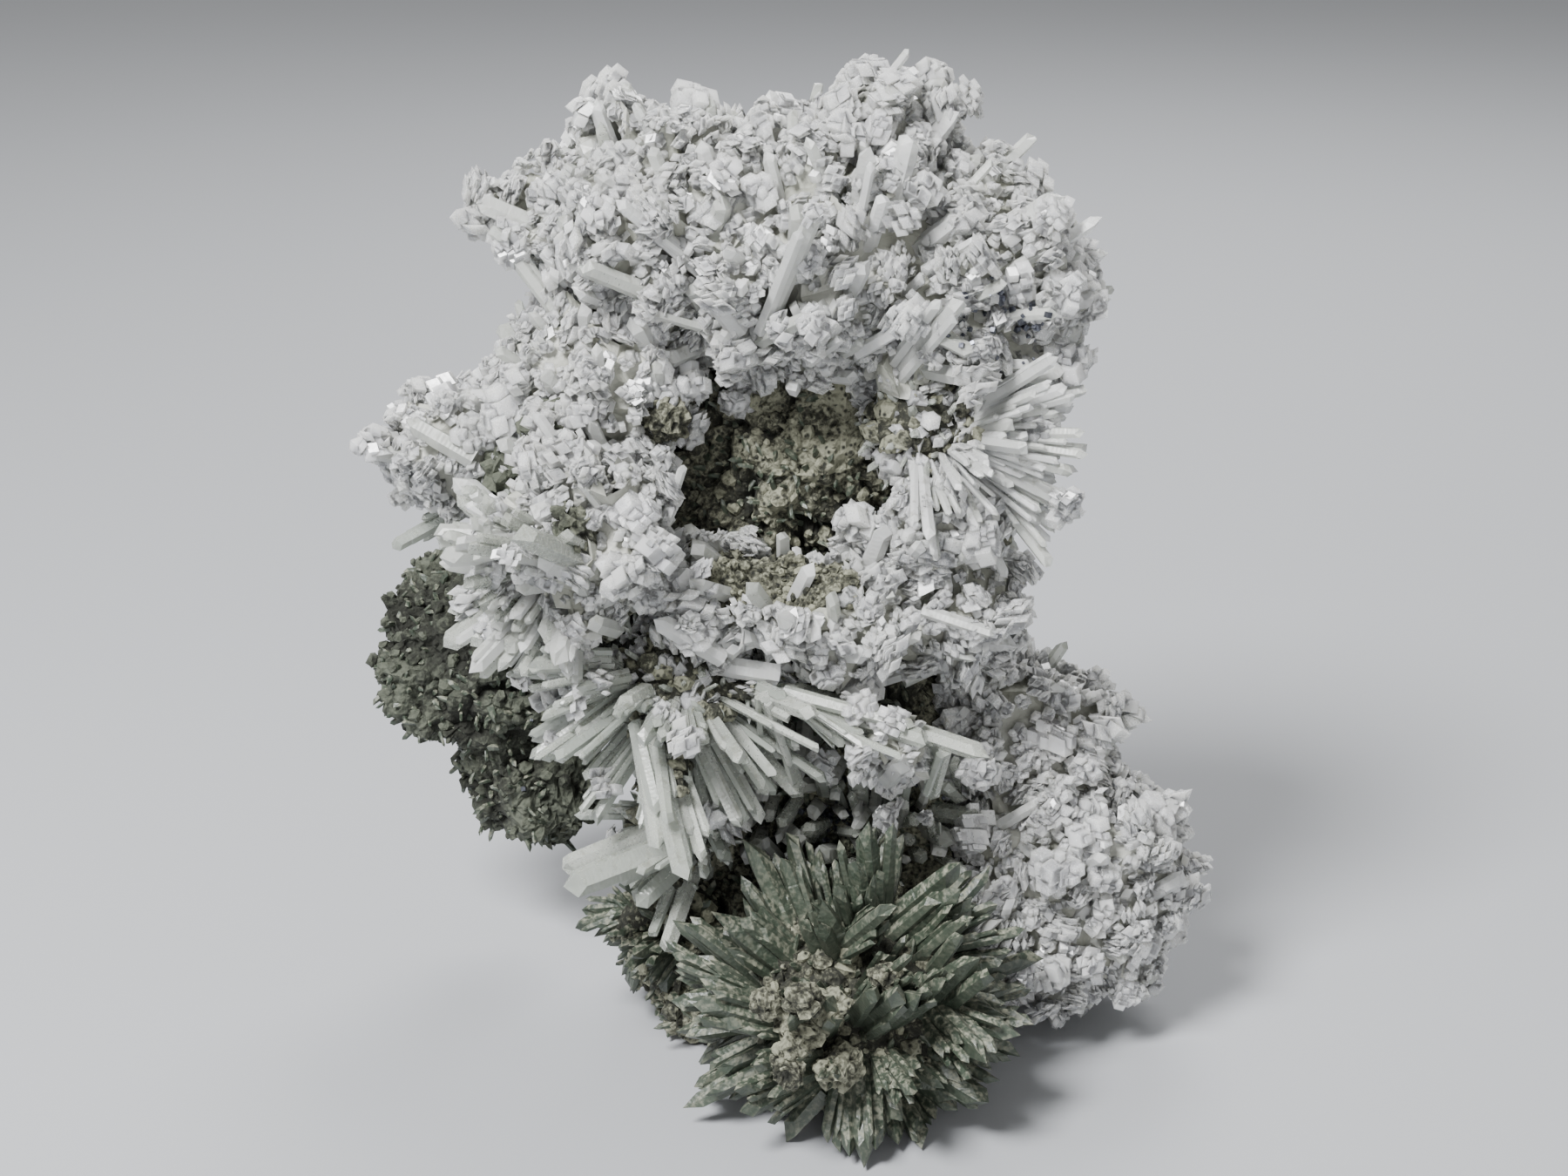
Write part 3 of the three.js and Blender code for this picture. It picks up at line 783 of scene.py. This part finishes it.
def rock_piece():
    """The rock's skin moved by its relief, and the crumbs and points on the open parts of it. They lie in
    patches, and thickest on the left and at the front. The foot stays flat to within 0.6 mm."""
    random = np.random.default_rng(7)
    corners, quads, normals = fine_skin("matrix_rock", 0.82 * MM)
    relief = rock_relief(corners, random)
    moved = corners + normals * relief[:, None] * MM
    moved[:, 2] = np.maximum(moved[:, 2], np.minimum(corners[:, 2], 0.6 * MM))
    body = Pile()
    # The tone is the relief's height, which the rock finish turns into painted shade in the pits.
    body.add(moved[None], quads.tolist(), np.clip(0.5 + relief / 6, 0, 1), 0)
    body.piece("rock_body", [rock], "matrix_rock", ["matrix_rock"])
    is_open = look_out("matrix_rock", -0.5 * MM, 3 * MM)
    patch_random = np.random.default_rng(3)

    def clear(spots, directions):
        leftward = np.clip(-spots[:, 0] / (40 * MM), -0.2, 1)
        frontward = np.clip((12 * MM - spots[:, 1]) / (20 * MM), -0.6, 0.8)
        patches = waves(spots, 13 * MM, patch_random) + leftward + frontward > 0
        return is_open(spots, directions) & patches

    triangles = np.concatenate([quads[:, :3], quads[:, [0, 2, 3]]])
    crust = Pile()
    add_crumbs(crust, moved, triangles, random, 2.4, (0.3, 1.3), 0, clear)
    add_points(crust, moved, triangles, random, 1.9, (0.8, 2.4), (0.3, 0.7), 1, clear)
    add_lumps(crust, EARTHY_LUMPS[:, :3] * MM, EARTHY_LUMPS[:, 3] * MM, random, 0, (18, 26))
    crust.piece("rock_crumbs", [rock, chlorite], "matrix_rock")


rock_piece()

# %% [markdown]
# ## The crusts
# Large growths give a crust its knobs, and small ones close the gaps between them. Here and there a quartz
# crystal that the calcite has not quite buried still stands out, pointing away from the inside of the crust.
# Behind them lies the crust's own solid, drawn in, so that no gap shows through. Under the hollow no calcite
# grew, and there the solid carries rock crumbs.

# %% Quartz in a crust
def add_needles(pile, places, spots, random, finish):
    """Quartz crystals that come out of a crust. They point away from a place under the crust's middle, and
    their tips stand a little out of the growths around them."""
    count = len(spots)
    under = places.mean(0) * [0.6, 0.6, 1] + np.array([0, 4, -16]) * MM
    ways = unit(unit(spots - under) + random.normal(size=(count, 3)) * 0.22)
    radii = random.uniform(0.8, 1.7, count) * MM
    ends = spots + ways * random.uniform(1.5, 5.0, (count, 1)) * MM
    add_prisms(pile, spots - ways * 8 * MM, ends, radii, random, 1, taper=0.08, finish=finish, paler=1)


# %% Calcite crusts
BARE = np.array([(0, -12, 85.5), (12, 13, 9)]) * MM  # the bare place's middle and its reach
HEART_DEPTH = 2.4 * MM  # how far a crust's solid is drawn in
SWELL_LENGTH, SWELL_HEIGHT = 16 * MM, 1.3 * MM
# The small growths fill the gaps between the knobs, so their tone gain is painted shade.
LARGE_GROWTHS, SMALL_GROWTHS = (30, 0, 0), (7, 0.5, 0.25)  # members, how far sunk, and what the tone gains


def calcite_piece(name, seed, large, small, needles=6.5, split=False):
    """A calcite crust from its solid. large and small are each a spacing and the least and greatest radius of
    the growths, in millimetres, and needles is the spacing of the quartz crystals that stand out. Wide swells
    lift some growths and sink others, and the sunk ones get a greyer tone as painted shade. split gives the
    large growths their own piece."""
    random = np.random.default_rng(seed)
    swell_random = np.random.default_rng(seed + 1)
    finishes = [calcite, quartz, heart, rock]
    pile = Pile()
    places, triangles = welded(name)
    core = drawn_in(places, triangles, HEART_DEPTH, 0.5 * MM)
    bared = inside(core[triangles].mean(1), *BARE, 1.2)
    # The drawn-in solid wears the heart's grey painted shade, and the rock finish where it is bare.
    cover = np.where(bared, finishes.index(rock), finishes.index(heart))
    pile.add(core[None], triangles.tolist(), 0.5, 0, cover)
    if bared.any():
        add_crumbs(pile, core, triangles[bared], random, 1.1, (0.25, 0.9), finishes.index(rock))
    for (spacing, least, greatest), (members, sunk, deep) in ((large, LARGE_GROWTHS), (small, SMALL_GROWTHS)):
        spots, normals = open_seats(name, spacing * MM, random)
        radii = (least + (greatest - least) * random.random(len(spots)) ** 1.6) * MM
        swell = np.clip(waves(spots, SWELL_LENGTH, swell_random), -1, 1)
        spots = spots + normals * (swell * SWELL_HEIGHT)[:, None]
        high = (spots[:, 2] > radii * 1.1) & ~inside(spots, *BARE)
        # Sunk growths and the small ones get a greyer tone: painted shade.
        shade_tone = np.clip(-swell, 0, 1)[high] * 0.35 + deep
        add_growths(pile, spots[high], normals[high], radii[high], random, members, sunk, 0, shade_tone)
        if split:
            pile.piece(name + "_large_crystals", finishes, "calcite", [name])
            pile, split = Pile(), False
    spots, _ = open_seats(name, needles * MM, random)
    add_needles(pile, places, spots[spots[:, 2] > 8 * MM], random, finishes.index(quartz))
    pile.piece(name + "_crystals", finishes, "calcite", [name])


calcite_piece("calcite_crown", 31, (4.9, 2.6, 4.4), (2.1, 1.2, 2.3), split=True)
calcite_piece("calcite_left_arm", 41, (4.7, 2.4, 4.2), (2.1, 1.1, 2.2))
calcite_piece("calcite_left_front", 43, (4.7, 2.4, 4.2), (2.1, 1.1, 2.2))
calcite_piece("calcite_waist", 44, (4.8, 2.5, 4.3), (2.1, 1.1, 2.2))
calcite_piece("calcite_long_points", 49, (3.6, 2.0, 3.2), (2.6, 1.1, 1.8), 20)
calcite_piece("calcite_right_lobe", 51, (4.9, 2.6, 4.4), (2.15, 1.2, 2.3), 10)

# %% [markdown]
# ## Quartz sprays
# A spray grows out of a mound of crumbly rock with short points, partly overgrown with calcite. Thin crystals
# fill it, each on a line between two tall neighbours, and small ones grow against the sides of others.

# %% The mound under a spray
def add_mound(pile, spray, random, crusted, rock_number, calcite_number):
    """A spray's core, drawn in, with crumbs and points. Calcite covers its upper share, crusted."""
    core = drawn_in(spray.places, spray.triangles, 0.6 * MM, 0.4 * MM)
    pile.add(core[None], spray.triangles.tolist(), 0.3, 0, rock_number)
    add_crumbs(pile, core, spray.triangles, random, 2.0, (0.4, 1.7), rock_number)
    add_points(pile, core, spray.triangles, random, 2.4)
    if crusted:
        spots, normals = scattered(core, spray.triangles, 2.6 * MM, random)
        high = spots[:, 2] > np.quantile(spots[:, 2], 1 - crusted)
        radii = random.uniform(1.5, 3.0, high.sum()) * MM
        add_growths(pile, spots[high], normals[high], radii, random, 10, 0.2, calcite_number)


# %% What sits on the crystals
def add_stuck_lumps(pile, tips, ways, random, lumps, rock_number):
    """Crumbly lumps near the tips of the crystals that point forward and a little up."""
    front = np.argsort(ways @ [0.1, 0.9, -0.4] + random.random(len(ways)) * 0.15)[:lumps]
    middles = tips[front] - ways[front] * random.uniform(1, 5, (lumps, 1)) * MM
    add_lumps(pile, middles, random.uniform(1.5, 2.9, lumps) * MM, random, rock_number)


def add_dressing(pile, tips, ways, random, dressed, calcite_number):
    """Growths of calcite on some of the crystals, at the tip or up to 8 mm behind it."""
    some = random.choice(len(ways), dressed, replace=False)
    spots = tips[some] - ways[some] * random.uniform(0, 8, (dressed, 1)) * MM
    normals = unit(ways[some] + random.normal(size=(dressed, 3)) * 0.5)
    high = spots[:, 2] > 6 * MM
    radii = random.uniform(1.8, 3.6, high.sum()) * MM
    add_growths(pile, spots[high], normals[high], radii, random, 16, 0, calcite_number)


# %% Sprays
def spray_piece(name, seed, filling, finishes, slot, stepping=2, point=1.0, taper=0.12, wide=1.0, stray=1.0,
                apart=0.07, paler=0, lumps=0, dressed=0, crusted=0.0, solids=None):
    """A spray from its solid, or one piece from several solids that have no mound. filling crystals stand
    between the tall ones, and stepping small ones grow against each, turned apart from it. Radii are wide
    times the solid's, and roots stray by so many millimetres. The finishes are the crystals' own, the rock's
    if there is a mound, and last the calcite's if any grows."""
    random = np.random.default_rng(seed)
    last = len(finishes) - 1
    form = {"point": point, "taper": taper, "paler": paler}
    pile = Pile()
    for solid in solids or [name]:
        spray = sprays[solid]
        inward = unit(spray.roots - spray.tips) * 2 * MM
        roots = spray.roots + inward + random.normal(size=spray.roots.shape) * stray * MM
        tall = roots, spray.tips, spray.radii * wide
        if not solids:
            add_mound(pile, spray, random, crusted, 1, last)
        add_prisms(pile, *tall, random, **form)
        if filling:
            fill = between(*tall, random, filling, (0.6, 1.05), (0.55, 1.0))
            add_prisms(pile, *above_floor(*fill), random, 1, **form)
            tall = [np.concatenate(pair) for pair in zip(tall, fill)]
        steps = beside(*tall, random, stepping, apart, (0.55, 0.97), (0.45, 0.8))
        add_prisms(pile, *above_floor(*steps), random, 0, **form)
        ways = unit(tall[1] - tall[0])
        if lumps:
            add_stuck_lumps(pile, tall[1], ways, random, lumps, 1)
        if dressed:
            add_dressing(pile, tall[1], ways, random, dressed, last)
    pile.piece(name + "_crystals", finishes, slot, solids or [name])


PALE = {"finishes": [quartz, rock, calcite], "slot": "quartz"}
spray_piece("quartz_right_spray", 15, 130, **PALE, wide=0.78, apart=0.12, paler=1.2, dressed=14, crusted=1.0)
spray_piece("quartz_left_front", 16, 50, **PALE, paler=0.7, dressed=18, crusted=0.7)
spray_piece("quartz_lower_spray", 18, 75, **PALE, wide=0.95, dressed=16, crusted=0.5)
spray_piece("quartz_low_left", 13, 16, **PALE, dressed=2)
large_points = sorted(name for name in nodes if name.startswith("quartz_point_"))
spray_piece("quartz_points", 21, 0, [quartz, calcite], "quartz", stray=0.0, paler=0.9, dressed=1,
            solids=large_points)

# %% [markdown]
# The green bursts are the same quartz full of chlorite. Their crystals are spears: they narrow from the root
# to a long point, and every spear is a bundle whose lesser tips end one after another.

# %% Chlorite-green bursts
GREEN = {"finishes": [chlorite, rock], "slot": "green_quartz", "point": 1.6, "taper": 0.25, "apart": 0.12}
spray_piece("green_quartz_front", 19, 80, **GREEN, stepping=5, wide=0.85, stray=2.4, lumps=9)
spray_piece("green_quartz_left", 20, 24, **GREEN, stepping=4, wide=0.8, stray=1.4, lumps=1)

# %% [markdown]
# ## Crystals in the hollows
# In front of the bare rock stand a few single quartz crystals, some with a knob of calcite on the tip. Above
# the green burst the rock is covered with a thicket of short ones.

# %% Where the single crystals stand
SINGLE_CRYSTALS = np.array([  # the root, the tip, the radius and the radius of the knob, in millimetres
    (7.0, 2.3, 39.3, 5.7, -9.4, 49.1, 1.5, 3.4),
    (17.8, 1.8, 35.8, 18.5, -11.3, 49.6, 1.8, 4.6),
    (13.7, 0.4, 32.7, 15.3, -10.8, 42.4, 1.3, 3.2),
    (28.6, 2.4, 41.5, 28.6, -9.2, 50.0, 1.8, 4.2),
    (12.1, 2.1, 37.9, 11.2, -9.2, 49.7, 1.9, 0),
    (23.7, -20.1, 56.9, 22.2, -15.4, 46.7, 1.4, 0),
    (24.0, 1.0, 31.0, 22.0, -10.5, 41.5, 0.8, 1.8),
    (0.2, -17.1, 64.6, 22.7, -15.4, 54.2, 1.3, 0),
    (0.2, -17.1, 64.6, 9.0, -21.2, 57.9, 0.9, 0),
    (0.2, -17.1, 64.6, 12.3, -24.6, 58.9, 0.8, 0),
    (0.2, -17.1, 64.6, 19.1, -23.5, 61.8, 1.2, 0),
    (-2.3, -18.2, 64.4, 0.2, -7.8, 50.2, 1.3, 0),
    (-2.3, -18.2, 64.4, 2.6, -9.0, 45.8, 1.2, 0),
    (-45.8, 16.3, 84.0, -59.5, 7.3, 78.6, 1.2, 0),
    (-7.0, 14.0, 102.0, -7.0, 7.0, 103.1, 1.2, 4.0),
    (16.8, 4.0, 92.0, 16.8, -4.2, 93.9, 1.2, 3.6),
])

# %% Single crystals
PIT = np.array([(9, -2, 40), (22, 16, 12)]) * MM  # the pit's middle and its reach


def add_thicket(pile, random):
    """Quartz crystals all over the rock in the pit above the green burst. They point out and forward."""
    def in_pit(spots, normals):
        return inside(spots, *PIT) & (normals[:, 1] < 0.2)

    spots, normals = scattered(*welded("matrix_rock"), 2.4 * MM, random, in_pit)
    count = len(spots)
    ways = unit(normals + random.normal(size=(count, 3)) * 0.35 + [0, -0.6, 0])
    radii = random.uniform(0.8, 1.8, count) * MM
    ends = spots + ways * random.uniform(5, 12, (count, 1)) * MM
    add_prisms(pile, spots - ways * 2 * MM, ends, radii, random, paler=0.5)
    print("thicket:", count, "crystals")


def single_crystals():
    """The crystals of the table, with thinner ones beside them and growths of calcite on the knobbed tips."""
    random = np.random.default_rng(61)
    roots, tips = SINGLE_CRYSTALS[:, :3] * MM, SINGLE_CRYSTALS[:, 3:6] * MM
    radii, knobs = SINGLE_CRYSTALS[:, 6] * MM, SINGLE_CRYSTALS[:, 7] * MM
    pile = Pile()
    add_prisms(pile, roots, tips, radii, random)
    add_prisms(pile, *beside(roots, tips, radii, random, 2, 0.1, (0.6, 0.95), (0.4, 0.7)), random, 0)
    add_thicket(pile, random)
    here = knobs > 0
    tips, ways, knobs = tips[here], unit(tips - roots)[here], knobs[here]
    for share in (0.85, 0.7):
        strays = random.normal(size=tips.shape) * 0.25 * knobs[:, None]
        add_growths(pile, tips + strays, ways, knobs * share, random, 18, 0.1, 1)
    pile.piece("single_crystals", [quartz, calcite], "quartz")


single_crystals()

# %% [markdown]
# Galena grew last, as grains of dark lead-grey cubes that cling to the rock in a few places and to the
# calcite on the right of the crown. Each grain is put on the nearest place of the surface that carries it.

# %% Galena grains
GRAIN_PLACES = {
    "rock_body": [(11.7, 0.4, 39.4), (8.3, -0.1, 38.1), (13.7, -0.4, 36.0), (7.6, -0.4, 36.8),
                  (33.5, -6.2, 36.8), (36.2, -5.9, 9.5), (-25.4, -14.0, 66.8), (-20.0, 6.0, 66.0),
                  (-33.0, 8.0, 40.0)],
    "calcite_crown_crystals": [(26.2, -9.8, 118.4), (31.3, -7.8, 120.5), (33.9, -7.9, 116.0)],
}


def galena_piece(each=26, reach=2.2):
    """Cubes scattered about the places by the reach in millimetres, each times as many as the places, and put
    on the carrier's surface. A cube is turned at random and sunk by a third."""
    random = np.random.default_rng(77)
    signs = np.array([(x, y, z) for x in (-1, 1) for y in (-1, 1) for z in (-1, 1)]) * 0.5
    faces = [(0, 1, 3, 2), (4, 6, 7, 5), (0, 4, 5, 1), (2, 3, 7, 6), (0, 2, 6, 4), (1, 5, 7, 3)]
    pile = Pile()
    graph = bpy.context.evaluated_depsgraph_get()
    for carrier, places in GRAIN_PLACES.items():
        tree = BVHTree.FromObject(bpy.data.objects[carrier], graph)
        around = np.repeat(np.array(places) * MM, each, axis=0)
        around += random.normal(size=around.shape) * reach * MM
        seats = [tree.find_nearest(place)[:2] for place in around.tolist()]
        spots, normals = (np.array([seat[part] for seat in seats if seat[0][2] > 2 * MM]) for part in (0, 1))
        count = len(spots)
        size = random.uniform(0.3, 0.9, count) * MM
        turned = unit(normals + random.normal(size=(count, 3)))
        frames = frames_along(turned, random.uniform(0, np.pi, count))
        middles = spots + normals * (size * 0.15)[:, None]
        cubes = middles[:, None] + np.einsum("vk,nkj->nvj", signs, frames * size[:, None, None])
        pile.add(cubes, faces, random.random((count, 1)), 0)
    pile.piece("galena_grains", [galena], "matrix_rock")


galena_piece()

# %% [markdown]
# ## Floor, light and camera
# A plain pale floor under an even pale sky, and three soft lamps: a strong one high on the left, a weak one
# in front and one behind. The camera looks a little down, far enough away for a natural perspective.

# %% Floor
FLOOR_HALF, FLOOR_GREY = 3.0, (0.37, 0.38, 0.40, 1)
floor_mesh = bpy.data.meshes.new("floor")
turns = ((-1, -1), (1, -1), (1, 1), (-1, 1))
floor_mesh.from_pydata([(x * FLOOR_HALF, y * FLOOR_HALF, 0) for x, y in turns], [], [(0, 1, 2, 3)])
floor_mesh.materials.append(Finish("floor", Roughness=0.8).wear(Base_Color=FLOOR_GREY))
in_scene("floor", floor_mesh)

# %% Light
AIM = Vector((0.0002, 0.0073, 0.072))  # the middle of the specimen


def lamp(name, place, size, power):
    """A round soft lamp that looks at the specimen's middle."""
    data = bpy.data.lights.new(name, "AREA")
    data.shape = "DISK"
    data.size = size
    data.energy = power
    made = in_scene(name, data)
    made.location = place
    made.rotation_euler = (AIM - Vector(place)).to_track_quat("-Z", "Y").to_euler()


lamp("key", (-0.35, -0.45, 0.75), 0.3, 21.0)
lamp("fill", (0.15, -0.8, 0.22), 0.4, 1.8)
lamp("rim", (0.15, 0.6, 0.6), 0.4, 5.0)
world = bpy.data.worlds.new("studio")
bpy.context.scene.world = world
world.use_nodes = True
sky = world.node_tree.nodes["Background"].inputs
sky["Color"].default_value = (1.0, 1.0, 0.99, 1)
sky["Strength"].default_value = 0.4

# %% Camera
DISTANCE = 0.45
ELEVATION = np.radians(20)
camera_data = bpy.data.cameras.new("camera")
camera_data.lens = 67.5
camera_data.sensor_width = 36
camera = in_scene("camera", camera_data)
camera.location = (AIM[0], AIM[1] - DISTANCE * np.cos(ELEVATION), AIM[2] + DISTANCE * np.sin(ELEVATION))
camera.rotation_euler = (np.pi / 2 - ELEVATION, 0, 0)
bpy.context.scene.camera = camera
